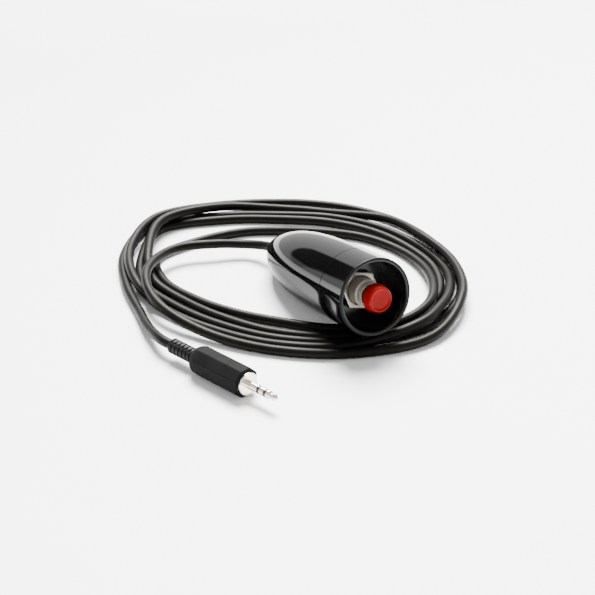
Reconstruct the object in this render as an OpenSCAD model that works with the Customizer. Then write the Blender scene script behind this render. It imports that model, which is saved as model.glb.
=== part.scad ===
// Wired push-button release: a bullet-shaped handle with a button in a recessed
// cup, a loosely coiled cable and a small three-pole jack plug at its far end.
// Millimetres, +Z up, floor at z = 0. The handle's axis runs along Y with the
// mouth at -Y, tipped up at the mouth because the front lies on the cable.

/* [Handle] */
// outside diameter of the handle and of its mouth
handle_d = 25; // [24.6:0.1:25.6]
// length of the front collar, from the mouth to the seam
collar_len = 13.3; // [12.6:0.1:14]
// wall of the cup at the mouth
cup_wall = 1.4; // [1.2:0.1:1.8]
// depth of the cup from the mouth to its panel
cup_depth = 11.2; // [11:0.1:11.6]
// angle that the mouth is tipped up from the floor
tilt = 9.4; // [9.4:0.1:9.8]

/* [Button] */
// diameter of the button cap at its base
cap_base_d = 9.1; // [8.4:0.1:9.6]
// diameter of the button cap at its face
cap_face_d = 8; // [7:0.1:8.4]
// length of the button cap
cap_len = 3.6; // [3:0.1:4.4]
// how far the button travels when pressed
travel = 1.3; // [0.8:0.1:1.4]
// diameter of the switch's metal bushing
bush_d = 9; // [8.6:0.1:9.2]
// width across the flats of the panel nut
nut_af = 11.6; // [11:0.1:12.4]
// thickness of the panel nut
nut_t = 2; // [1.6:0.1:2.4]

/* [Cable] */
// diameter of the cable's jacket
cable_d = 3.3; // [3:0.1:3.3]

/* [Plug] */
// diameter of the plug's contact pin
pin_d = 2.5; // [2.5:0.1:2.5]
// width across the flats of the eight-sided hood
hood_af = 8.9; // [8.6:0.1:9.2]
// length of the hood
hood_len = 21.5; // [20.5:0.5:22.5]
// length of the ribbed sleeve behind the hood
relief_len = 11.1; // [10.7:0.1:11.7]

/* [Hidden] */
$fn = 64;

r0 = handle_d / 2;
// the way from the mouth to the tail
tail_dir = [0, cos(tilt), -sin(tilt)];

// bullet outline of the handle: radius at a distance s behind the mouth
ogive_from = 6.4;
ogive_len = 65.7;
function ogive(s) = r0 * pow(1 - pow((s - ogive_from) / ogive_len, 4), 0.877);
tail_s = 68.6;
exit_s = 69.9;
exit_r = 2.15;
cavity_end = 65.2;
tail_bore = 2.4;
panel_t = 1.6;
panel_back = cup_depth + panel_t;
spigot_end = 19.5;
spigot_r = r0 - 1.7;

// the switch, from the mouth inwards
cap_back = 0.3;
cap_edge = 0.35;
cap_dish = 0.35;
nut_turn = 13;
bush_front = 2;
flange_t = 1.2;
flange_back = panel_back + flange_t;
flange_r = 6.2;
rod_r = 3;
foot_front = flange_back + 0.3;
foot_back = foot_front + 1;
base_front = 24.2;
base_t = 2;
bridge_front = 20;
bridge_t = 0.4;
contact_front = bridge_front + bridge_t + travel + 0.15;
tag_end = 29;

// centre of the mouth: the handle's box is centred on the origin and the lowest
// point of its bullet touches the floor
mouth = [0,
         -((cap_back - cap_len + exit_s) * cos(tilt) + (exit_r - cap_face_d / 2 + cap_edge) * sin(tilt)) / 2,
         max([for (s = [14:0.25:66]) s * sin(tilt) + ogive(s) * cos(tilt)])];
function along(s) = mouth + s * tail_dir;

// the plug, from the cable towards the tip
hood_back = relief_len;
hood_front = relief_len + hood_len;
collar_front = hood_front + 1;
sleeve_front = collar_front + 4.2;
ring_back = sleeve_front + 1;
ring_front = ring_back + 1.7;
tip_back = ring_front + 1;
tip_end = tip_back + 4;
core_r = 0.45;
tube_r = 0.83;
plug_at = [-57.5, -8, hood_af / 2 + 0.02];
plug_yaw = 18;
plug_dir = [sin(plug_yaw), -cos(plug_yaw), 0];

// the cable's route. It leaves the tail, drops across the coil, goes round it
// five times and ends in the plug. Coil points are [angle, radius, height] about
// the coil's middle, about one every 24 degrees.
coil_mid = [2.5, 27];
coil_turn = -28;
from_tail = [[-0.3, 39.5, 6.3], [-2.2, 44.3, 5.3], [-5.7, 47.9, 4.9], [-15.6, 51.6, 5.6]];
turn_1 = [[168, 42.3, 5.8], [192, 50.4, 6.6], [216, 54.2, 5.3], [240, 54.6, 2.6], [264, 57.2, 1.7],
          [288, 62, 1.7], [312, 66.3, 2.2], [336, 61.8, 5], [0, 55.7, 5.2], [24, 51.3, 5.2],
          [48, 53, 3.8], [72, 51.8, 1.9], [96, 54, 1.9], [120, 56.3, 4.7], [144, 59, 5.8]];
turn_2 = [[168, 52, 4.7], [192, 48.2, 2.6], [216, 42.8, 1.7], [240, 42.4, 1.7], [264, 46, 1.7],
          [288, 51, 1.7], [312, 55.4, 4.4], [324, 55, 5.2], [336, 51.6, 5], [0, 45.9, 2.7], [24, 41.5, 1.7],
          [48, 37.5, 1.7], [72, 33.8, 1.7], [96, 33.6, 1.7], [120, 37.2, 1.7], [144, 41.7, 1.7]];
turn_3 = [[168, 48.6, 1.7], [192, 44.5, 1.7], [216, 39.2, 1.7], [240, 37.2, 1.7], [264, 38.6, 1.7],
          [288, 45.4, 1.7], [312, 51.6, 1.7], [336, 53, 1.7], [0, 49.7, 1.7], [24, 45.4, 1.7],
          [48, 43.8, 1.7], [72, 43.2, 1.7], [96, 44, 1.7], [120, 50.3, 1.7], [144, 59.8, 1.7]];
turn_4 = [[168, 54.5, 1.7], [192, 51.7, 1.7], [216, 47.4, 1.7], [240, 46.8, 1.7], [264, 50, 1.7],
          [288, 54.7, 1.7], [312, 59.9, 1.7], [336, 60.1, 1.7], [0, 57.6, 1.7], [24, 55.8, 1.7],
          [48, 57.2, 1.7], [72, 58.8, 1.7], [96, 60.2, 1.7], [120, 60.9, 3.4], [144, 62.6, 5.6]];
turn_5 = [[168, 58.7, 4.7], [192, 54.6, 3.6], [216, 51.3, 1.7], [240, 50.7, 1.7], [264, 53.7, 1.7],
          [288, 58.6, 2.5], [312, 61.4, 5.3], [324, 59.3, 5.3], [336, 57, 4.6], [0, 53.4, 1.8], [24, 49.6, 1.7],
          [48, 48.2, 1.7], [72, 47.6, 1.7], [96, 47.8, 1.7], [120, 54.2, 1.7], [144, 64.8, 1.7]];
to_plug = [[168, 61.2, 1.7], [192, 57.6, 1.7], [212, 58.9, 1.8], [225, 64, 3]];
function coil(p) = [coil_mid[0] + p[1] * cos(p[0] + coil_turn),
                    coil_mid[1] + p[1] * sin(p[0] + coil_turn), p[2]];
route = concat([along(exit_s)], from_tail,
               [for (p = concat(turn_1, turn_2, turn_3, turn_4, turn_5, to_plug)) coil(p)],
               [plug_at - 5 * plug_dir, plug_at]);

function unit(v) = v / norm(v);
// rings of a tube along the points p: start and end rings square to the given ways
function ways(p, first, last) = [for (i = [0:len(p) - 1])
    i == 0 ? first : i == len(p) - 1 ? last : unit(unit(p[i + 1] - p[i]) + unit(p[i] - p[i - 1]))];
function sides(w) = unit(cross(w, [0, 0, 1]));
function ring(c, w, r, n) = [for (k = [0:n - 1])
    c + r * (cos(360 * (k + 0.5) / n) * sides(w) + sin(360 * (k + 0.5) / n) * cross(sides(w), w))];
module tube(p, r, n, first, last) {
    w = ways(p, first, last);
    m = len(p);
    polyhedron(points = [for (i = [0:m - 1]) each ring(p[i], w[i], r, n)],
        faces = concat([[for (k = [0:n - 1]) k]],
            [for (i = [0:m - 2], k = [0:n - 1])
                [i * n + k, (i + 1) * n + k, (i + 1) * n + (k + 1) % n, i * n + (k + 1) % n]],
            [[for (k = [n - 1:-1:0]) (m - 1) * n + k]]));
}

module in_handle() translate(mouth) rotate([-(90 + tilt), 0, 0]) children();
module in_plug() translate(plug_at) rotate([90, 0, plug_yaw]) children();
// a straight rod between two points
module rod(a, b, r) {
    d = b - a;
    translate(a) rotate([0, acos(d[2] / norm(d)), atan2(d[1], d[0])]) cylinder(r = r, h = norm(d), $fn = 24);
}
// a washer or sleeve between two distances on the axis
module band(r_in, r_out, from, to) translate([0, 0, from]) difference() {
    cylinder(r = r_out, h = to - from);
    translate([0, 0, -1]) cylinder(r = r_in, h = to - from + 2);
}

module front_cup() color([0.02, 0.02, 0.022]) in_handle() rotate_extrude($fn = 96)
    polygon([[r0 - cup_wall, 0.4], [r0 - cup_wall + 0.4, 0], [r0 - 0.4, 0], [r0, 0.4],
             [r0, collar_len - 0.35], [r0 - 0.35, collar_len], [spigot_r, collar_len],
             [spigot_r, spigot_end], [spigot_r - 1.3, spigot_end], [spigot_r - 1.3, panel_back],
             [bush_d / 2 + 0.05, panel_back], [bush_d / 2 + 0.05, cup_depth], [r0 - cup_wall, cup_depth]]);

module rear_shell() color([0.02, 0.02, 0.022]) in_handle() rotate_extrude($fn = 96)
    polygon(concat([[spigot_r + 0.02, collar_len], [r0 - 0.35, collar_len]],
        [for (i = [0:20]) let (s = collar_len + 0.35 + (tail_s - collar_len - 0.35) * (1 - pow(1 - i / 20, 1.5))) [ogive(s), s]],
        [[tail_bore, tail_s], [tail_bore, cavity_end]],
        [for (i = [0:12]) let (s = cavity_end - (cavity_end - spigot_end - 0.4) * (1 - pow(1 - i / 12, 1.4))) [ogive(s) - 1.75, s]],
        [[spigot_r + 0.02, spigot_end + 0.4]]));

module cable_grommet() color([0.03, 0.03, 0.03]) in_handle() rotate_extrude()
    polygon([[cable_d / 2 + 0.02, 63.4], [3.1, 63.4], [3.1, 65.1], [tail_bore - 0.02, 65.1],
             [tail_bore - 0.02, tail_s], [exit_r, exit_s], [cable_d / 2 + 0.02, exit_s]]);

module cable_inner_end() color([0.03, 0.03, 0.03]) in_handle()
    translate([0, 0, 56]) cylinder(r = cable_d / 2, h = exit_s - 56);

module cable_tie() color([0.75, 0.75, 0.72]) in_handle() {
    band(cable_d / 2 + 0.01, 2.5, 59.5, 61.5);
    translate([2.3, -0.9, 59.3]) cube([1.6, 1.8, 2.4]);
}

module lead_wires() color([0.6, 0.1, 0.08]) in_handle() for (m = [-1, 1])
    rod([m * 1.7, 0, tag_end + 0.02], [m * 0.75, 0, 56 - 0.12], 0.55);

module panel_nut() color([0.78, 0.76, 0.72]) in_handle() difference() {
    intersection() {
        translate([0, 0, cup_depth - 0.6 - nut_t]) rotate([0, 0, nut_turn]) cylinder(d = nut_af / cos(30), h = nut_t, $fn = 6);
        translate([0, 0, cup_depth - 0.6 - nut_t]) cylinder(d1 = nut_af * 1.1, d2 = nut_af * 1.4, h = nut_t, $fn = 96);
    }
    translate([0, 0, cup_depth - 4]) cylinder(d = bush_d + 0.04, h = 5);
}

module lock_washer() color([0.74, 0.72, 0.68]) in_handle() difference() {
    band(bush_d / 2 + 0.05, nut_af / 2 - 0.1, cup_depth - 0.6, cup_depth);
    for (a = [0:30:330]) rotate([0, 0, a]) translate([nut_af / 2 - 0.6, -0.25, cup_depth - 1]) cube([2, 0.5, 2]);
}

module switch_bushing() color([0.8, 0.78, 0.74]) in_handle() rotate_extrude()
    polygon([[rod_r + 0.05, bush_front + 3], [bush_d / 2 - 0.75, bush_front + 3], [bush_d / 2 - 0.75, bush_front], [bush_d / 2 - 0.55, bush_front], [bush_d / 2 - 0.45, bush_front + 0.1],
             [bush_d / 2 - 0.45, bush_front + 2.5], [bush_d / 2, bush_front + 3.1], [bush_d / 2, panel_back], [flange_r, panel_back], [flange_r, flange_back], [rod_r + 0.05, flange_back]]);

module switch_housing() color([0.08, 0.08, 0.09]) in_handle() band(5, flange_r, flange_back, base_front);

module terminal_base() color([0.35, 0.2, 0.1]) in_handle() difference() {
    translate([0, 0, base_front]) cylinder(r = flange_r, h = base_t);
    for (m = [-1, 1]) translate([m * 1.7, 0, base_front - 1]) cylinder(r = 0.62, h = base_t + 2);
}

module terminals() color([0.8, 0.62, 0.25]) in_handle() for (m = [-1, 1]) {
    translate([m * 1.7, 0, contact_front]) cylinder(r = 0.6, h = tag_end - contact_front);
    translate([m * 1.7, 0, contact_front]) cylinder(r = 0.8, h = 0.5);
}

// a wound wire spring between the plunger's foot and the base
spring_turns = 5;
spring_r = 3.9;
wire_r = 0.28;
spring_from = foot_back + wire_r + 0.02;
spring_to = base_front - wire_r - 0.02;
function spring_z(t) = spring_from + (spring_to - spring_from) * min(1, max(0, (t - 0.7) / (spring_turns - 1.4)));
spring_path = [for (i = [0:14 * spring_turns]) let (t = i / 14)
    [spring_r * cos(360 * t), spring_r * sin(360 * t), spring_z(t)]];
module return_spring() color([0.7, 0.7, 0.7]) in_handle()
    tube(spring_path, wire_r, 6, unit(spring_path[1] - spring_path[0]), unit(spring_path[70] - spring_path[69]));

module plunger() color([0.12, 0.11, 0.11]) in_handle() rotate_extrude()
    polygon([[0, cap_back - 1.8], [2, cap_back - 1.8], [2, cap_back], [rod_r, cap_back], [rod_r, foot_front],
             [4.5, foot_front], [4.5, foot_back], [1.6, foot_back], [1.6, bridge_front], [0, bridge_front]]);

module contact_bridge() color([0.8, 0.62, 0.25]) in_handle()
    translate([0, 0, bridge_front]) cylinder(r = 2.9, h = bridge_t);

module button_cap() color([0.72, 0.05, 0.04]) in_handle() rotate_extrude()
    polygon([[0, cap_back - cap_len + cap_dish], [cap_face_d / 2 - 1.1, cap_back - cap_len + cap_dish], [cap_face_d / 2 - 0.55, cap_back - cap_len], [cap_face_d / 2 - cap_edge, cap_back - cap_len], [cap_face_d / 2, cap_back - cap_len + cap_edge],
             [cap_base_d / 2, cap_back - 0.5], [cap_base_d / 2, cap_back], [2.02, cap_back],
             [2.02, cap_back - 1.8], [0, cap_back - 1.8]]);

module cable() color([0.03, 0.03, 0.032]) tube(route, cable_d / 2, 8, tail_dir, plug_dir);

module plug_strain_relief() color([0.1, 0.1, 0.1]) in_plug() difference() {
    union() {
        cylinder(r = 2.45, h = relief_len);
        translate([0, 0, relief_len - 0.5]) cylinder(r = 2, h = 4);
        translate([0, 0, relief_len + 3.22]) cylinder(r = 2.7, h = 1);
    }
    translate([0, 0, -1]) cylinder(r = cable_d / 2 + 0.02, h = relief_len + 7);
    for (i = [0:11], a = [0, 180]) rotate([0, 0, a + (i % 2) * 90])
        translate([-2.2, 1.76, 0.8 + i * 0.82]) cube([4.4, 1, 0.42]);
}

module plug_cable_end() color([0.03, 0.03, 0.03]) in_plug() cylinder(r = cable_d / 2, h = relief_len + 6);

module plug_hood() color([0.13, 0.13, 0.13]) in_plug() difference() {
    intersection() {
        translate([0, 0, hood_back]) rotate([0, 0, 22.5]) cylinder(d = hood_af / cos(22.5), h = hood_len, $fn = 8);
        translate([0, 0, hood_back]) rotate_extrude($fn = 96)
            polygon([[0, 0], [3.1, 0], [3.9, 0.5], [hood_af / 2 / cos(22.5) + 0.05, 2.2], [hood_af / 2 / cos(22.5) + 0.05, hood_len], [0, hood_len]]);
    }
    translate([0, 0, hood_back - 1]) cylinder(r = 2.02, h = 6);
    translate([0, 0, hood_back + 3.2]) cylinder(r = 3.22, h = hood_len);
}

module plug_sleeve() color([0.82, 0.8, 0.76]) in_plug() rotate_extrude()
    polygon([[tube_r + 0.01, hood_front - 4.5], [3.2, hood_front - 4.5], [3.2, hood_front + 0.01], [3.6, hood_front + 0.01],
             [3.6, collar_front - 0.2], [3.4, collar_front], [pin_d / 2, collar_front],
             [pin_d / 2, sleeve_front], [tube_r + 0.01, sleeve_front]]);

module plug_ring() color([0.82, 0.8, 0.76]) in_plug() band(tube_r + 0.01, pin_d / 2, ring_back, ring_front);

module plug_tip() color([0.82, 0.8, 0.76]) in_plug() rotate_extrude()
    polygon([[0, hood_front - 7.5], [core_r, hood_front - 7.5], [core_r, tip_back], [pin_d / 2, tip_back],
             [pin_d / 2, tip_end - 3.1], [0.8, tip_end - 2.5], [0.8, tip_end - 2.1], [1.1, tip_end - 1.3],
             [0.75, tip_end - 0.5], [0.3, tip_end], [0, tip_end]]);

module plug_insulators() color([0.03, 0.03, 0.03]) in_plug() rotate_extrude()
    polygon([[core_r + 0.01, hood_front - 6], [tube_r, hood_front - 6], [tube_r, sleeve_front], [pin_d / 2, sleeve_front],
             [pin_d / 2, ring_back], [tube_r, ring_back], [tube_r, ring_front], [pin_d / 2, ring_front],
             [pin_d / 2, tip_back], [core_r + 0.01, tip_back]]);

module plug_tags() color([0.82, 0.8, 0.76]) in_plug() for (m = [-1, 1])
    translate([-0.8, m * 2.1 - 0.2, hood_front - 10.5]) cube([1.6, 0.4, 6]);

module plug_wires() color([0.6, 0.1, 0.08]) in_plug() for (m = [-1, 1])
    rod([0, m * 0.8, relief_len + 6.12], [0, m * 2.1, hood_front - 10.65], 0.45);

front_cup();
rear_shell();
cable_grommet();
cable_inner_end();
cable_tie();
lead_wires();
panel_nut();
lock_washer();
switch_bushing();
switch_housing();
terminal_base();
terminals();
return_spring();
plunger();
contact_bridge();
button_cap();
cable();
plug_strain_relief();
plug_cable_end();
plug_hood();
plug_sleeve();
plug_ring();
plug_tip();
plug_insulators();
plug_tags();
plug_wires();
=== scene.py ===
import math

import bpy
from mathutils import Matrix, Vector


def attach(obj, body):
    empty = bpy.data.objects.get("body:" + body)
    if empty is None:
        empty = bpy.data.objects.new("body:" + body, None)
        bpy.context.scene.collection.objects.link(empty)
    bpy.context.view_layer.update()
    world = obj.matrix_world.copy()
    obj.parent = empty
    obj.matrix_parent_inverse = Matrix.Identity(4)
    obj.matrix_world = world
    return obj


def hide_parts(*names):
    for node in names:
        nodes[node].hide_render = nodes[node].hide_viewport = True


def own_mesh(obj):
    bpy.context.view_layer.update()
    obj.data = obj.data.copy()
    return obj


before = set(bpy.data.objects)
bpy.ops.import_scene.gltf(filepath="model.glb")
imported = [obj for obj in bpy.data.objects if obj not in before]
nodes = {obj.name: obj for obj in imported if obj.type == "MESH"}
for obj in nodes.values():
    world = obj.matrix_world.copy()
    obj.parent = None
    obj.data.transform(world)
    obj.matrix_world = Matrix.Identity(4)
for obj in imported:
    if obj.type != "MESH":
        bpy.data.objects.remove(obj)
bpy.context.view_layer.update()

MM = 0.001

# ---------------------------------------------------------------- frames
TILT = math.radians(9.4)
TAIL = Vector((0, math.cos(TILT), -math.sin(TILT)))
UP = Vector((0, math.sin(TILT), math.cos(TILT)))
SIDE = Vector((1, 0, 0))
R0 = 12.5


def ogive(s):
    t = max(0.0, (s - 6.4) / 65.7)
    return R0 * max(0.0, 1 - t ** 4) ** 0.877


MOUTH = Vector((0,
                -(66.6 * math.cos(TILT) - 1.5 * math.sin(TILT)) / 2,
                max(s / 4 * math.sin(TILT) + ogive(s / 4) * math.cos(TILT) for s in range(56, 265))))
PLUG_AT = Vector((-57.5, -8, 4.47))
YAW = math.radians(18)
PLUG_DIR = Vector((math.sin(YAW), -math.cos(YAW), 0))
PLUG_SIDE = Vector((-math.cos(YAW), -math.sin(YAW), 0))


def in_handle(r, s, a):
    return (MOUTH + s * TAIL + r * (math.cos(a) * SIDE + math.sin(a) * UP)) * MM


def in_plug(r, s, a):
    return (PLUG_AT + s * PLUG_DIR + r * (math.cos(a) * PLUG_SIDE + math.sin(a) * Vector((0, 0, 1)))) * MM


# ---------------------------------------------------------------- camera
TARGET = Vector((-4.185, 10.415, 0)) * MM
cam = bpy.data.cameras.new("camera")
cam.sensor_width = 36
cam.lens = 80.77
cam.clip_start = 0.01
cam.clip_end = 50
camera = bpy.data.objects.new("camera", cam)
bpy.context.scene.collection.objects.link(camera)
camera.location = TARGET + Vector((-188.23, -354.02, 204.30)) * MM
camera.rotation_euler = (TARGET - camera.location).to_track_quat("-Z", "Y").to_euler()
bpy.context.scene.camera = camera

# ---------------------------------------------------------------- the cable's route, as in the model
COIL_MID = (2.5, 27.0)
from_tail = [(-0.3, 39.5, 6.3), (-2.2, 44.3, 5.3), (-5.7, 47.9, 4.9), (-15.6, 51.6, 5.6)]
coil_points = [
    (168, 42.3, 5.8), (192, 50.4, 6.6), (216, 54.2, 5.3), (240, 54.6, 2.6), (264, 57.2, 1.7),
    (288, 62, 1.7), (312, 66.3, 2.2), (336, 61.8, 5), (0, 55.7, 5.2), (24, 51.3, 5.2),
    (48, 53, 3.8), (72, 51.8, 1.9), (96, 54, 1.9), (120, 56.3, 4.7), (144, 59, 5.8),
    (168, 52, 4.7), (192, 48.2, 2.6), (216, 42.8, 1.7), (240, 42.4, 1.7), (264, 46, 1.7),
    (288, 51, 1.7), (312, 55.4, 4.4), (324, 55, 5.2), (336, 51.6, 5), (0, 45.9, 2.7),
    (24, 41.5, 1.7), (48, 37.5, 1.7), (72, 33.8, 1.7), (96, 33.6, 1.7), (120, 37.2, 1.7),
    (144, 41.7, 1.7),
    (168, 48.6, 1.7), (192, 44.5, 1.7), (216, 39.2, 1.7), (240, 37.2, 1.7), (264, 38.6, 1.7),
    (288, 45.4, 1.7), (312, 51.6, 1.7), (336, 53, 1.7), (0, 49.7, 1.7), (24, 45.4, 1.7),
    (48, 43.8, 1.7), (72, 43.2, 1.7), (96, 44, 1.7), (120, 50.3, 1.7), (144, 59.8, 1.7),
    (168, 54.5, 1.7), (192, 51.7, 1.7), (216, 47.4, 1.7), (240, 46.8, 1.7), (264, 50, 1.7),
    (288, 54.7, 1.7), (312, 59.9, 1.7), (336, 60.1, 1.7), (0, 57.6, 1.7), (24, 55.8, 1.7),
    (48, 57.2, 1.7), (72, 58.8, 1.7), (96, 60.2, 1.7), (120, 60.9, 3.4), (144, 62.6, 5.6),
    (168, 58.7, 4.7), (192, 54.6, 3.6), (216, 51.3, 1.7), (240, 50.7, 1.7), (264, 53.7, 1.7),
    (288, 58.6, 2.5), (312, 61.4, 5.3), (324, 59.3, 5.3), (336, 57, 4.6), (0, 53.4, 1.8),
    (24, 49.6, 1.7), (48, 48.2, 1.7), (72, 47.6, 1.7), (96, 47.8, 1.7), (120, 54.2, 1.7),
    (144, 64.8, 1.7),
    (168, 61.2, 1.7), (192, 57.6, 1.7), (212, 58.9, 1.8), (225, 64, 3)]


def coil(p):
    a = math.radians(p[0] - 28)
    return Vector((COIL_MID[0] + p[1] * math.cos(a), COIL_MID[1] + p[1] * math.sin(a), p[2]))


EXIT = MOUTH + 69.9 * TAIL
route = ([EXIT] + [Vector(p) for p in from_tail] + [coil(p) for p in coil_points]
         + [PLUG_AT - 5 * PLUG_DIR, PLUG_AT])


def smooth(points, steps):
    """Points on a centripetal Catmull-Rom curve through the route."""
    q = [2 * points[0] - points[1]] + points + [2 * points[-1] - points[-2]]
    out = []
    for i in range(1, len(q) - 2):
        p = q[i - 1:i + 3]
        t = [0.0]
        for k in range(3):
            t.append(t[-1] + math.sqrt((p[k + 1] - p[k]).length))
        for k in range(steps):
            u = t[1] + (t[2] - t[1]) * k / steps

            def mix(a, b, ta, tb):
                return a * ((tb - u) / (tb - ta)) + b * ((u - ta) / (tb - ta))
            a1, a2, a3 = mix(p[0], p[1], t[0], t[1]), mix(p[1], p[2], t[1], t[2]), mix(p[2], p[3], t[2], t[3])
            b1, b2 = mix(a1, a2, t[0], t[2]), mix(a2, a3, t[1], t[3])
            c = mix(b1, b2, t[1], t[2])
            c.z = max(c.z, 1.68)
            out.append(c)
    out.append(points[-1].copy())
    return out


CABLE_R = 1.65
line = smooth(route, 8)
curve = bpy.data.curves.new("cable_jacket", "CURVE")
curve.dimensions = "3D"
curve.bevel_depth = CABLE_R * MM
curve.bevel_resolution = 7
curve.use_fill_caps = True
spline = curve.splines.new("POLY")
spline.points.add(len(line) - 1)
for point, c in zip(spline.points, line):
    point.co = (c.x * MM, c.y * MM, c.z * MM, 1)
spline.use_smooth = True
cable = bpy.data.objects.new("cable_jacket", curve)
bpy.context.scene.collection.objects.link(cable)


# ---------------------------------------------------------------- materials
def principled(name):
    m = bpy.data.materials.new(name)
    m.use_nodes = True
    nt = m.node_tree
    b = nt.nodes["Principled BSDF"]
    return m, nt, b


def noise(nt, scale, detail=3.0, rough=0.5, coord=None, stretch=None):
    if coord is None:
        coord = nt.nodes.new("ShaderNodeTexCoord").outputs["Object"]
    if stretch:
        mp = nt.nodes.new("ShaderNodeMapping")
        mp.inputs["Scale"].default_value = stretch
        nt.links.new(coord, mp.inputs["Vector"])
        coord = mp.outputs["Vector"]
    n = nt.nodes.new("ShaderNodeTexNoise")
    n.inputs["Scale"].default_value = scale
    n.inputs["Detail"].default_value = detail
    n.inputs["Roughness"].default_value = rough
    nt.links.new(coord, n.inputs["Vector"])
    return n.outputs["Fac"]


def ramp(nt, fac, lo, hi, a=0.3, b=0.7):
    r = nt.nodes.new("ShaderNodeMapRange")
    r.inputs["From Min"].default_value = a
    r.inputs["From Max"].default_value = b
    r.inputs["To Min"].default_value = lo
    r.inputs["To Max"].default_value = hi
    nt.links.new(fac, r.inputs["Value"])
    return r.outputs["Result"]


def tint(nt, fac, dark, light, a=0.3, b=0.7):
    c = nt.nodes.new("ShaderNodeValToRGB")
    c.color_ramp.elements[0].position = a
    c.color_ramp.elements[1].position = b
    c.color_ramp.elements[0].color = (*dark, 1)
    c.color_ramp.elements[1].color = (*light, 1)
    nt.links.new(fac, c.inputs["Fac"])
    return c.outputs["Color"]


def bump(nt, b, height, strength, distance):
    n = nt.nodes.new("ShaderNodeBump")
    n.inputs["Strength"].default_value = strength
    n.inputs["Distance"].default_value = distance
    nt.links.new(height, n.inputs["Height"])
    nt.links.new(n.outputs["Normal"], b.inputs["Normal"])


def make(name, dark, light, r_lo, r_hi, colour_scale, rough_scale, bump_scale, bump_strength, bump_distance,
         metallic=0.0, ior=1.5, coat=0.0, stretch=None):
    m, nt, b = principled(name)
    nt.links.new(tint(nt, noise(nt, colour_scale, 4), dark, light), b.inputs["Base Color"])
    nt.links.new(ramp(nt, noise(nt, rough_scale, 5, 0.6, stretch=stretch), r_lo, r_hi), b.inputs["Roughness"])
    bump(nt, b, noise(nt, bump_scale, 4, 0.6, stretch=stretch), bump_strength, bump_distance)
    b.inputs["Metallic"].default_value = metallic
    b.inputs["IOR"].default_value = ior
    if coat:
        b.inputs["Coat Weight"].default_value = coat
        b.inputs["Coat Roughness"].default_value = 0.05
    return m


M = {
    "shell": make("gloss_black_moulding", (0.0012, 0.0012, 0.0013), (0.0022, 0.0022, 0.0024), 0.04, 0.08, 40, 220, 60, 0.05, 0.0004, ior=1.37),
    "cup": make("cup_black_moulding", (0.0008, 0.0008, 0.0009), (0.0016, 0.0016, 0.0018), 0.16, 0.26, 60, 260, 180, 0.08, 0.0003, ior=1.27),
    # painted shade: a darker, less reflective copy of the black moulding for the mouth's lip and the seam wall behind
    # the collar
    "lip": make("lip_moulding_painted_shade", (0.0006, 0.0006, 0.0006), (0.0012, 0.0012, 0.0012), 0.34, 0.44, 60, 260, 180, 0.08, 0.0003, ior=1.19),
    "jacket": make("satin_black_jacket", (0.0016, 0.0016, 0.0012), (0.0030, 0.0029, 0.0023), 0.38, 0.50, 90, 320, 420, 0.10, 0.0002, ior=1.165),
    "soft_black": make("soft_black_moulding", (0.0013, 0.0013, 0.0012), (0.0027, 0.0027, 0.0025), 0.42, 0.55, 150, 500, 700, 0.12, 0.0002, ior=1.2),
    "hood": make("charcoal_moulding", (0.0058, 0.0057, 0.0055), (0.0082, 0.0081, 0.0078), 0.6, 0.72, 200, 900, 2600, 0.35, 0.00006, ior=1.09),
    "nickel": make("nickel_plate", (0.46, 0.435, 0.375), (0.56, 0.535, 0.47), 0.26, 0.36, 120, 500, 900, 0.05, 0.0001, metallic=0.85),
    # painted light: the barrel's nickel is lighter than the nut's and part diffuse, so it looks lit inside the dark cup
    "barrel": make("nickel_plate_painted_light", (0.50, 0.465, 0.385), (0.62, 0.58, 0.49), 0.42, 0.55, 120, 500, 900, 0.05, 0.0001, metallic=0.6),
    "bore": make("bore_shade", (0.02, 0.018, 0.015), (0.035, 0.032, 0.028), 0.5, 0.65, 120, 500, 900, 0.05, 0.0001),
    # painted shade: the nut's front face is a darker copy of the nickel, standing in for the dimmer light it reflects
    "nut_face": make("nut_face_painted_shade", (0.13, 0.12, 0.092), (0.19, 0.177, 0.14), 0.30, 0.42, 120, 500, 900, 0.05, 0.0001, metallic=0.9),
    "pin_nickel": make("bright_plate", (0.70, 0.625, 0.525), (0.80, 0.73, 0.63), 0.14, 0.24, 200, 900, 1500, 0.04, 0.0001, metallic=1.0),
    "red_cap": make("red_moulding", (0.135, 0.0012, 0.001), (0.168, 0.0022, 0.0016), 0.30, 0.40, 180, 600, 900, 0.08, 0.0001, ior=1.15),
    "insulator": make("black_insulator", (0.003, 0.003, 0.003), (0.006, 0.006, 0.006), 0.3, 0.42, 300, 900, 1200, 0.08, 0.0001),
    "dark_plastic": make("dark_moulding", (0.004, 0.0036, 0.0036), (0.008, 0.007, 0.007), 0.35, 0.5, 200, 700, 900, 0.1, 0.0001),
    "terminal_board": make("laminate_board", (0.10, 0.045, 0.02), (0.16, 0.075, 0.03), 0.45, 0.6, 160, 500, 1400, 0.2, 0.0001),
    "contact_brass": make("plain_brass", (0.55, 0.38, 0.13), (0.70, 0.50, 0.19), 0.22, 0.36, 260, 700, 900, 0.06, 0.0001, metallic=1.0),
    "spring_steel": make("drawn_wire", (0.45, 0.45, 0.45), (0.6, 0.6, 0.6), 0.2, 0.34, 260, 900, 900, 0.06, 0.0001, metallic=1.0),
    "tie": make("nylon", (0.4, 0.4, 0.37), (0.5, 0.5, 0.46), 0.35, 0.5, 160, 500, 800, 0.1, 0.0001),
    "wire": make("wire_insulation", (0.25, 0.012, 0.01), (0.32, 0.022, 0.016), 0.3, 0.42, 260, 700, 900, 0.08, 0.0001),
}
nt = M["shell"].node_tree
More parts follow.
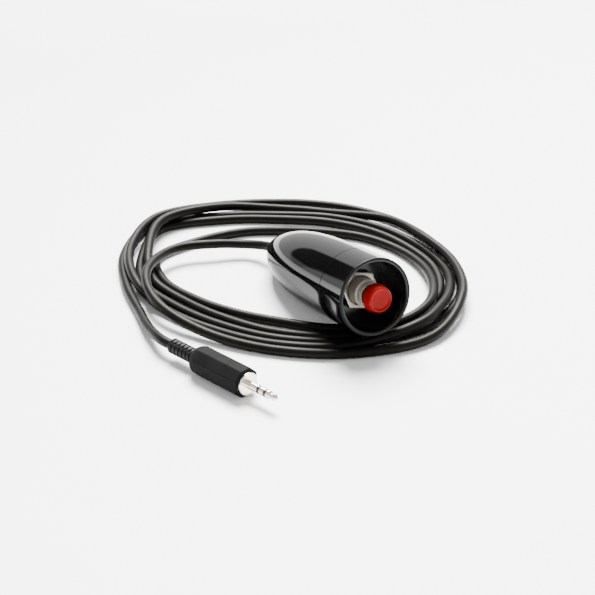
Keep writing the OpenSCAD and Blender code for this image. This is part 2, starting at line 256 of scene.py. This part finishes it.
# painted shade: the shell's Specular IOR Level falls from 0.5 at 26 mm height to 0.035 at 11.8 mm, dimming its
# reflections towards the underside as if the floor beside it were in shadow
sep = nt.nodes.new("ShaderNodeSeparateXYZ")
nt.links.new(nt.nodes.new("ShaderNodeTexCoord").outputs["Object"], sep.inputs["Vector"])
nt.links.new(ramp(nt, sep.outputs["Z"], 0.035, 0.5, 0.0118, 0.026), nt.nodes["Principled BSDF"].inputs["Specular IOR Level"])
M["jacket"].node_tree.nodes["Principled BSDF"].inputs["Specular Tint"].default_value = (1.0, 0.97, 0.87, 1)
M["shell"].node_tree.nodes["Principled BSDF"].inputs["Specular Tint"].default_value = (1.0, 0.985, 0.94, 1)
curve.materials.append(M["jacket"])


# ---------------------------------------------------------------- mesh building
def rounded(points, steps=5):
    """Profile points (r, s, corner radius) with each corner turned into an arc."""
    out = []
    n = len(points)
    for i, (r, s, f) in enumerate(points):
        p = Vector((r, s))
        if f <= 0:
            out.append((r, s))
            continue
        a = Vector(points[i - 1][:2]) - p
        b = Vector(points[(i + 1) % n][:2]) - p
        half = a.angle(b) / 2
        d = min(f / math.tan(half), a.length * 0.49, b.length * 0.49)
        ta, tb = p + a.normalized() * d, p + b.normalized() * d
        before = ta + a.normalized() * min(0.2, (a.length - d) * 0.3)
        after = tb + b.normalized() * min(0.2, (b.length - d) * 0.3)
        out.append((before.x, before.y))
        for k in range(steps + 1):
            t = k / steps
            c = (1 - t) ** 2 * ta + 2 * t * (1 - t) * p + t * t * tb
            out.append((c.x, c.y))
        out.append((after.x, after.y))
    return out


def loft(name, rings, place, segs, mats, pick=None, closed=True, sharp=35):
    """A closed mesh through rings. Each ring is (radius or radius of angle, station)."""
    verts, faces, mat_of = [], [], []
    start = []
    for radius, s in rings:
        pole = not callable(radius) and radius < 1e-6
        start.append((len(verts), pole))
        for k in range(1 if pole else segs):
            a = 2 * math.pi * k / segs
            verts.append(place(radius(a) if callable(radius) else radius, s(a) if callable(s) else s, a))
    m = len(rings)
    for i in range(m if closed else m - 1):
        (a, pa), (b, pb) = start[i], start[(i + 1) % m]
        if pa and pb:
            continue
        for k in range(segs):
            l = (k + 1) % segs
            f = [a if pa else a + k, b if pb else b + k, b if pb else b + l, a if pa else a + l]
            f = list(dict.fromkeys(f))
            faces.append(f)
            mat_of.append(pick(i) if pick else 0)
    mesh = bpy.data.meshes.new(name)
    mesh.from_pydata(verts, [], faces)
    for q in mats:
        mesh.materials.append(q)
    for poly, k in zip(mesh.polygons, mat_of):
        poly.material_index = k
        poly.use_smooth = True
    mesh.update()
    import bmesh
    bm = bmesh.new()
    bm.from_mesh(mesh)
    bmesh.ops.recalc_face_normals(bm, faces=bm.faces)
    bm.to_mesh(mesh)
    bm.free()
    mesh.set_sharp_from_angle(angle=math.radians(sharp))
    o = bpy.data.objects.new(name, mesh)
    bpy.context.scene.collection.objects.link(o)
    return o


def lathe(name, points, place, segs, mats, pick=None, closed=True, sharp=35):
    return loft(name, points, place, segs, mats, pick, closed, sharp)


def use(piece, body, slot, *stands_for):
    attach(piece, body)
    if stands_for:
        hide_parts(*stands_for)
    return piece


# ---------------------------------------------------------------- handle
COLLAR = 13.3
CUP_IN = R0 - 1.4
profile = rounded([(CUP_IN, 0.0, 0.95), (R0, 0.0, 0.3), (R0, 6.4, 0), (R0 - 0.01, COLLAR, 0),
                   (R0 - 1.7, COLLAR, 0), (R0 - 1.7, 19.5, 0.2), (R0 - 3.0, 19.5, 0.2), (R0 - 3.0, 12.8, 0),
                   (4.55, 12.8, 0), (4.55, 11.2, 0.1), (CUP_IN, 11.2, 0)])


# part 2 is the lip's outer edge in the darker lip moulding (painted shade), part 1 the inside of the cup
def part_of_cup(i):
    ends = (profile[i], profile[(i + 1) % len(profile)])
    if all(s < 0.57 and r > R0 - 0.75 for r, s in ends):
        return 2
    return 1 if all(r < CUP_IN + 0.8 and s < 11.3 for r, s in ends) else 0


front_cup = lathe("front_collar", profile, in_handle, 192, [M["shell"], M["cup"], M["lip"]], pick=part_of_cup)
use(front_cup, "handle", "shell", "front_cup")

tail = []
for i in range(61):
    s = COLLAR + 0.45 + (68.6 - COLLAR - 0.45) * (1 - (1 - i / 60) ** 1.5)
    tail.append((ogive(s), s))
profile = ([(R0 - 1.66, COLLAR + 0.2), (ogive(COLLAR) - 0.12, COLLAR + 0.2), (ogive(COLLAR + 0.34), COLLAR + 0.34)]
           + tail[:-1]
           + [(ogive(68.5), 68.45), (ogive(68.6) - 0.1, 68.6), (2.4, 68.6), (2.4, 65.2)]
           + [(ogive(s) - 1.75, s) for s in (65.2, 60, 54, 46, 36, 26, 20)] + [(R0 - 1.66, 19.9)])
# the seam wall takes the darker lip moulding: painted shade in the seam
rear = lathe("rear_body", profile, in_handle, 192, [M["shell"], M["lip"]], pick=lambda i: 1 if i < 2 else 0)
use(rear, "handle", "shell", "rear_shell")

grommet = lathe("tail_grommet", rounded([(1.68, 63.4, 0), (3.1, 63.4, 0.2), (3.1, 65.1, 0.1), (2.38, 65.1, 0), (2.38, 68.6, 0),
                                         (2.2, 69.9, 0.25), (1.68, 69.9, 0.1)]), in_handle, 64, [M["soft_black"]])
use(grommet, "handle", "soft_black", "cable_grommet")

# ---------------------------------------------------------------- switch
NUT_AF = 11.6
NUT_TURN = math.radians(13)


def hexagon(a):
    return NUT_AF / 2 / math.cos((a + NUT_TURN + math.pi / 2 + math.pi / 6) % (math.pi / 3) - math.pi / 6)


front_s = 8.6


def hex_ring(inset, limit):
    return lambda a: min(hexagon(a) - inset, limit)


nut_rings = [(4.52, front_s + 0.25), (4.7, front_s + 0.04), (4.8, front_s)]
nut_rings += [(hex_ring(0.24, 6.24), front_s), (hex_ring(0.16, 6.34), front_s + 0.03), (hex_ring(0.05, 6.44), front_s + 0.11), (hex_ring(0.0, 6.5), front_s + 0.22),
              (hex_ring(0.0, 6.62), front_s + 0.4), (hex_ring(0.0, 6.8), front_s + 0.65)]
nut_rings += [(hex_ring(0.0, 9), front_s + 0.85), (hex_ring(0.0, 9), 10.5), (hex_ring(0.08, 9), 10.6), (4.52, 10.6)]
# the front rings of the nut take the darker nickel: painted shade on its face
nut = loft("panel_nut_body", nut_rings, in_handle, 180, [M["nickel"], M["nut_face"]], pick=lambda i: 1 if i < 3 else 0, sharp=28)
use(nut, "handle", "nickel", "panel_nut")

bushing_profile = rounded([(3.05, 5.0, 0), (3.75, 5.0, 0.1), (3.75, 2.0, 0.05), (4.05, 2.0, 0.1), (4.05, 4.5, 0.1), (4.5, 5.1, 0.15), (4.5, 12.8, 0),
                           (6.2, 12.8, 0.1), (6.2, 14.0, 0.1), (3.05, 14.0, 0)])


# painted shade: the counterbore, its step and the inner part of the front face take the near-black bore material,
# standing in for the cap's shadow
def in_painted_shade(i):
    return all(r < 3.96 and s < 5.2 for r, s in (bushing_profile[i], bushing_profile[(i + 1) % len(bushing_profile)]))


bushing = lathe("bushing_barrel", bushing_profile, in_handle, 128, [M["barrel"], M["bore"]], pick=lambda i: 1 if in_painted_shade(i) else 0)
use(bushing, "handle", "nickel", "switch_bushing")

plunger = lathe("plunger_stem", rounded([(0, -1.5, 0), (2, -1.5, 0.1), (2, 0.3, 0), (3, 0.3, 0.1), (3, 14.3, 0), (4.5, 14.3, 0.1),
                                         (4.5, 15.3, 0.1), (1.6, 15.3, 0), (1.6, 20, 0.1), (0, 20, 0)]), in_handle, 64, [M["dark_plastic"]])
use(plunger, "button", "dark_plastic", "plunger")

# the return spring, a wound wire from the plunger's foot to its fixed end, built in one fixed shape
FOOT, BASE, WIRE_R = 15.3, 24.2, 0.28
spring_line = []
for i in range(5 * 28 + 1):
    t = i / 28
    along = min(1.0, max(0.0, (t - 0.7) / 3.6))
    spring_line.append(Vector(in_handle(3.9, FOOT + WIRE_R + 0.02 + (BASE - FOOT - 2 * WIRE_R - 0.04) * along, -2 * math.pi * t)))
verts, faces = [], []
for i, c in enumerate(spring_line):
    way = (spring_line[min(i + 1, len(spring_line) - 1)] - spring_line[max(i - 1, 0)]).normalized()
    out = (c - Vector(in_handle(0, 0, 0)))
    out = (out - out.dot(TAIL) * TAIL).normalized()
    other = way.cross(out).normalized()
    for k in range(10):
        a = 2 * math.pi * k / 10
        verts.append(c + WIRE_R * MM * (math.cos(a) * out + math.sin(a) * other))
    if i:
        faces += [[(i - 1) * 10 + k, (i - 1) * 10 + (k + 1) % 10, i * 10 + (k + 1) % 10, i * 10 + k] for k in range(10)]
faces += [list(range(10))[::-1], [len(verts) - 10 + k for k in range(10)]]
mesh = bpy.data.meshes.new("return_spring_wire")
mesh.from_pydata(verts, [], faces)
mesh.materials.append(M["spring_steel"])
for poly in mesh.polygons:
    poly.use_smooth = len(poly.vertices) == 4
mesh.update()
import bmesh
bm = bmesh.new()
bm.from_mesh(mesh)
bmesh.ops.recalc_face_normals(bm, faces=bm.faces)
bm.to_mesh(mesh)
bm.free()
spring = bpy.data.objects.new("return_spring_wire", mesh)
bpy.context.scene.collection.objects.link(spring)
use(spring, "handle", "spring_steel", "return_spring")
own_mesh(spring)

cap_pts = [(0, -2.95, 0), (2.9, -2.95, 0.3), (3.45, -3.3, 0.1), (3.66, -3.3, 0.1), (4.02, -2.93, 0.25), (4.5, -0.15, 0.3), (4.55, 0.3, 0.12),
           (2.02, 0.3, 0), (2.02, -1.5, 0), (0, -1.5, 0)]
cap = lathe("red_button", rounded(cap_pts), in_handle, 128, [M["red_cap"]], sharp=50)
use(cap, "button", "red_cap", "button_cap")

# ---------------------------------------------------------------- plug
HOOD_AF = 8.9


def octagon(a, scale=1.0, p=60):
    total = 0.0
    for k in range(8):
        c = math.cos(a - k * math.pi / 4)
        if c > 0:
            total += c ** p
    return HOOD_AF / 2 * scale / total ** (1 / p)


def hood_ring(limit, scale=1.0):
    def r(a):
        o = octagon(a, scale)
        return (o ** -14 + limit ** -14) ** (-1 / 14)
    return r


hood_rings = [(2.02, 11.3), (2.3, 11.1), (2.8, 11.1), (hood_ring(3.15), 11.15), (hood_ring(3.5), 11.3), (hood_ring(3.8), 11.52),
              (hood_ring(4.05), 11.85), (hood_ring(4.3), 12.25), (hood_ring(4.55), 12.7), (hood_ring(4.75), 13.1), (hood_ring(5.2), 13.45),
              (hood_ring(6.5), 13.8)]
hood_rings += [(hood_ring(20), 14.1 + 1.75 * k) for k in range(11)]
hood_rings += [(hood_ring(20), 32.15), (hood_ring(20, 0.995), 32.38), (hood_ring(20, 0.975), 32.53), (hood_ring(20, 0.945), 32.6),
               (3.3, 32.6), (3.22, 32.5), (3.22, 14.3), (2.02, 14.3)]
hood = loft("plug_hood_body", hood_rings, in_plug, 160, [M["hood"]], sharp=40)
use(hood, "handle", "hood", "plug_hood")


def ease(x):
    x = min(1.0, max(0.0, x))
    return x * x * (3 - 2 * x)


def relief_radius(s):
    def r(a):
        full = 2.45 - 0.3 * max(0.0, 1 - s / 0.4) ** 2
        out = full
        for i in range(12):
            lo = 0.8 + 0.82 * i
            along = ease((s - lo + 0.03) / 0.06) * ease((lo + 0.42 + 0.03 - s) / 0.06)
            if along <= 0:
                continue
            across = abs(math.cos(a - math.pi / 2 * ((i + 1) % 2)))
            floor_r = 1.8 / max(across, 0.1)
            if floor_r < full:
                out = min(out, full - along * (full - floor_r))
        return out
    return r


relief_rings = [(1.67, 0.0), (2.0, 0.0)] + [(relief_radius(s * 0.04), s * 0.04) for s in range(1, 278)]
relief_rings += [(2.0, 11.09), (2.0, 14.32), (2.7, 14.32), (2.7, 15.32), (1.67, 15.32)]
relief = loft("plug_relief_body", relief_rings, in_plug, 96, [M["soft_black"]], sharp=40)
use(relief, "handle", "soft_black", "plug_strain_relief")

sleeve = lathe("plug_collar", rounded([(0.84, 28.1, 0), (3.2, 28.1, 0.1), (3.2, 32.61, 0), (3.6, 32.61, 0.05), (3.6, 33.6, 0.22), (1.25, 33.6, 0.08),
                                       (1.25, 37.8, 0.05), (0.84, 37.8, 0)]), in_plug, 96, [M["pin_nickel"]])
use(sleeve, "handle", "nickel", "plug_sleeve")
ring = lathe("plug_ring_contact", rounded([(0.84, 38.8, 0), (1.25, 38.8, 0.05), (1.25, 40.5, 0.05), (0.84, 40.5, 0)]), in_plug, 64, [M["pin_nickel"]])
use(ring, "handle", "nickel", "plug_ring")
tip = lathe("plug_tip_contact", rounded([(0, 25.1, 0), (0.45, 25.1, 0), (0.45, 41.5, 0), (1.25, 41.5, 0.05), (1.25, 42.4, 0.12), (0.8, 43.0, 0.1),
                                         (0.8, 43.4, 0.1), (1.1, 44.2, 0.2), (0.75, 45.0, 0.2), (0.3, 45.5, 0.1), (0, 45.5, 0)]),
            in_plug, 64, [M["pin_nickel"]], sharp=50)
use(tip, "handle", "nickel", "plug_tip")
rings = lathe("plug_insulator_rings", [(0.46, 26.6), (0.83, 26.6), (0.83, 37.8), (1.24, 37.8), (1.24, 38.8), (0.83, 38.8), (0.83, 40.5), (1.24, 40.5),
                                       (1.24, 41.5), (0.46, 41.5)], in_plug, 64, [M["insulator"]])
use(rings, "handle", "insulator", "plug_insulators")

# ---------------------------------------------------------------- the cable as a free cord
use(cable, "handle", "jacket", "cable")

# pieces that stay as modelled
keep = {"cable_inner_end": "jacket", "cable_tie": "tie", "lead_wires": "wire", "lock_washer": "nickel", "switch_housing": "dark_plastic",
        "terminal_base": "terminal_board", "terminals": "contact_brass", "contact_bridge": "contact_brass",
        "plug_cable_end": "jacket", "plug_tags": "pin_nickel", "plug_wires": "wire"}
for name, slot in keep.items():
    o = nodes[name]
    if not o.material_slots:
        o.data.materials.append(M[slot])
    for ms in o.material_slots:
        ms.material = M[slot]

# ---------------------------------------------------------------- floor and light
m, nt, b = principled("pale_floor")
co = nt.nodes.new("ShaderNodeTexCoord")
sep = nt.nodes.new("ShaderNodeSeparateXYZ")
nt.links.new(co.outputs["Object"], sep.inputs["Vector"])
# painted shade: the floor is darker towards the back, from 0.95 in front to 0.62 behind
nt.links.new(tint(nt, ramp(nt, sep.outputs["Y"], 0, 1, -0.12, 0.3), (0.95, 0.95, 0.95), (0.62, 0.62, 0.63), 0, 1), b.inputs["Base Color"])
nt.links.new(ramp(nt, noise(nt, 40, 3), 0.5, 0.6), b.inputs["Roughness"])
b.inputs["Specular IOR Level"].default_value = 0.2
mesh = bpy.data.meshes.new("floor")
mesh.from_pydata([(-3, -3, 0), (3, -3, 0), (3, 3, 0), (-3, 3, 0)], [], [(0, 1, 2, 3)])
mesh.materials.append(m)
floor = bpy.data.objects.new("floor", mesh)
bpy.context.scene.collection.objects.link(floor)

world = bpy.data.worlds.new("studio")
bpy.context.scene.world = world
world.use_nodes = True
nt = world.node_tree
bg = nt.nodes["Background"]
co = nt.nodes.new("ShaderNodeTexCoord")
sep = nt.nodes.new("ShaderNodeSeparateXYZ")
nt.links.new(co.outputs["Generated"], sep.inputs["Vector"])


def by_height(stops):
    cr = nt.nodes.new("ShaderNodeValToRGB")
    for k, (elevation, v) in enumerate(stops):
        pos = math.sin(math.radians(elevation))
        e = cr.color_ramp.elements[k] if k < 2 else cr.color_ramp.elements.new(pos)
        e.position = pos
        e.color = (v, v, v * 1.01, 1)
    nt.links.new(sep.outputs["Z"], cr.inputs["Fac"])
    return cr.outputs["Color"]


def facing(direction):
    """How far a way looks towards a compass direction, measured from +Y towards +X."""
    a = math.radians(direction)
    dot = nt.nodes.new("ShaderNodeVectorMath")
    dot.operation = "DOT_PRODUCT"
    dot.inputs[1].default_value = (math.sin(a), math.cos(a), 0)
    nt.links.new(co.outputs["Generated"], dot.inputs[0])
    return dot.outputs["Value"]


def math_node(kind, a, b):
    n = nt.nodes.new("ShaderNodeMath")
    n.operation = kind
    for socket, v in zip(n.inputs, (a, b)):
        if isinstance(v, float):
            socket.default_value = v
        else:
            nt.links.new(v, socket)
    return n.outputs["Value"]


def step(value, lo, hi):
    mr = nt.nodes.new("ShaderNodeMapRange")
    mr.interpolation_type = "SMOOTHSTEP"
    mr.inputs["From Min"].default_value = lo
    mr.inputs["From Max"].default_value = hi
    nt.links.new(value, mr.inputs["Value"])
    return mr.outputs["Result"]


# a light tent with a dark gap between two panels behind the handle, above a bright strip at the horizon
gap = by_height([(0, 0.6), (90, 0.22), (4.8, 0.6), (6.2, 0.03), (27, 0.03), (38, 0.6), (60, 0.3)])
tent = by_height([(0, 1.1), (90, 0.22), (24, 1.15), (38, 0.65), (60, 0.3)])
front = by_height([(0, 0.5), (90, 0.22), (14, 0.5), (30, 1.2), (50, 0.7)])
lean = math_node("MULTIPLY", math_node("MAXIMUM", math_node("SUBTRACT", 0.335, sep.outputs["Z"]), 0.0), 1.1)
right_panel = step(math_node("ADD", facing(87.5), lean), -0.015, 0.03)
left_panel = step(facing(-117), -0.015, 0.02)
camera_side = step(facing(208), 0.0, 0.5)


def blend(fac, a, b):
    n = nt.nodes.new("ShaderNodeMix")
    n.data_type = "RGBA"
    nt.links.new(fac, n.inputs["Factor"])
    nt.links.new(a, n.inputs[6])
    nt.links.new(b, n.inputs[7])
    return n.outputs[2]


sky = blend(camera_side, blend(math_node("MAXIMUM", right_panel, left_panel), gap, tent), front)
nt.links.new(sky, bg.inputs["Color"])
bg.inputs["Strength"].default_value = 1.6


def area(name, direction, elevation, distance, size, power, colour=(1, 1, 1), size_y=None):
    l = bpy.data.lights.new(name, "AREA")
    l.energy = power
    l.color = colour
    l.size = size
    if size_y:
        l.shape = "RECTANGLE"
        l.size_y = size_y
    o = bpy.data.objects.new(name, l)
    bpy.context.scene.collection.objects.link(o)
    a, e = math.radians(direction), math.radians(elevation)
    o.location = Vector((math.sin(a) * math.cos(e), math.cos(a) * math.cos(e), math.sin(e))) * distance
    o.rotation_euler = (-o.location).to_track_quat("-Z", "Y").to_euler()
    return o


# direction is measured from +Y towards +X
area("key_softbox", 28, 55, 1.3, 0.7, 155, size_y=0.7)
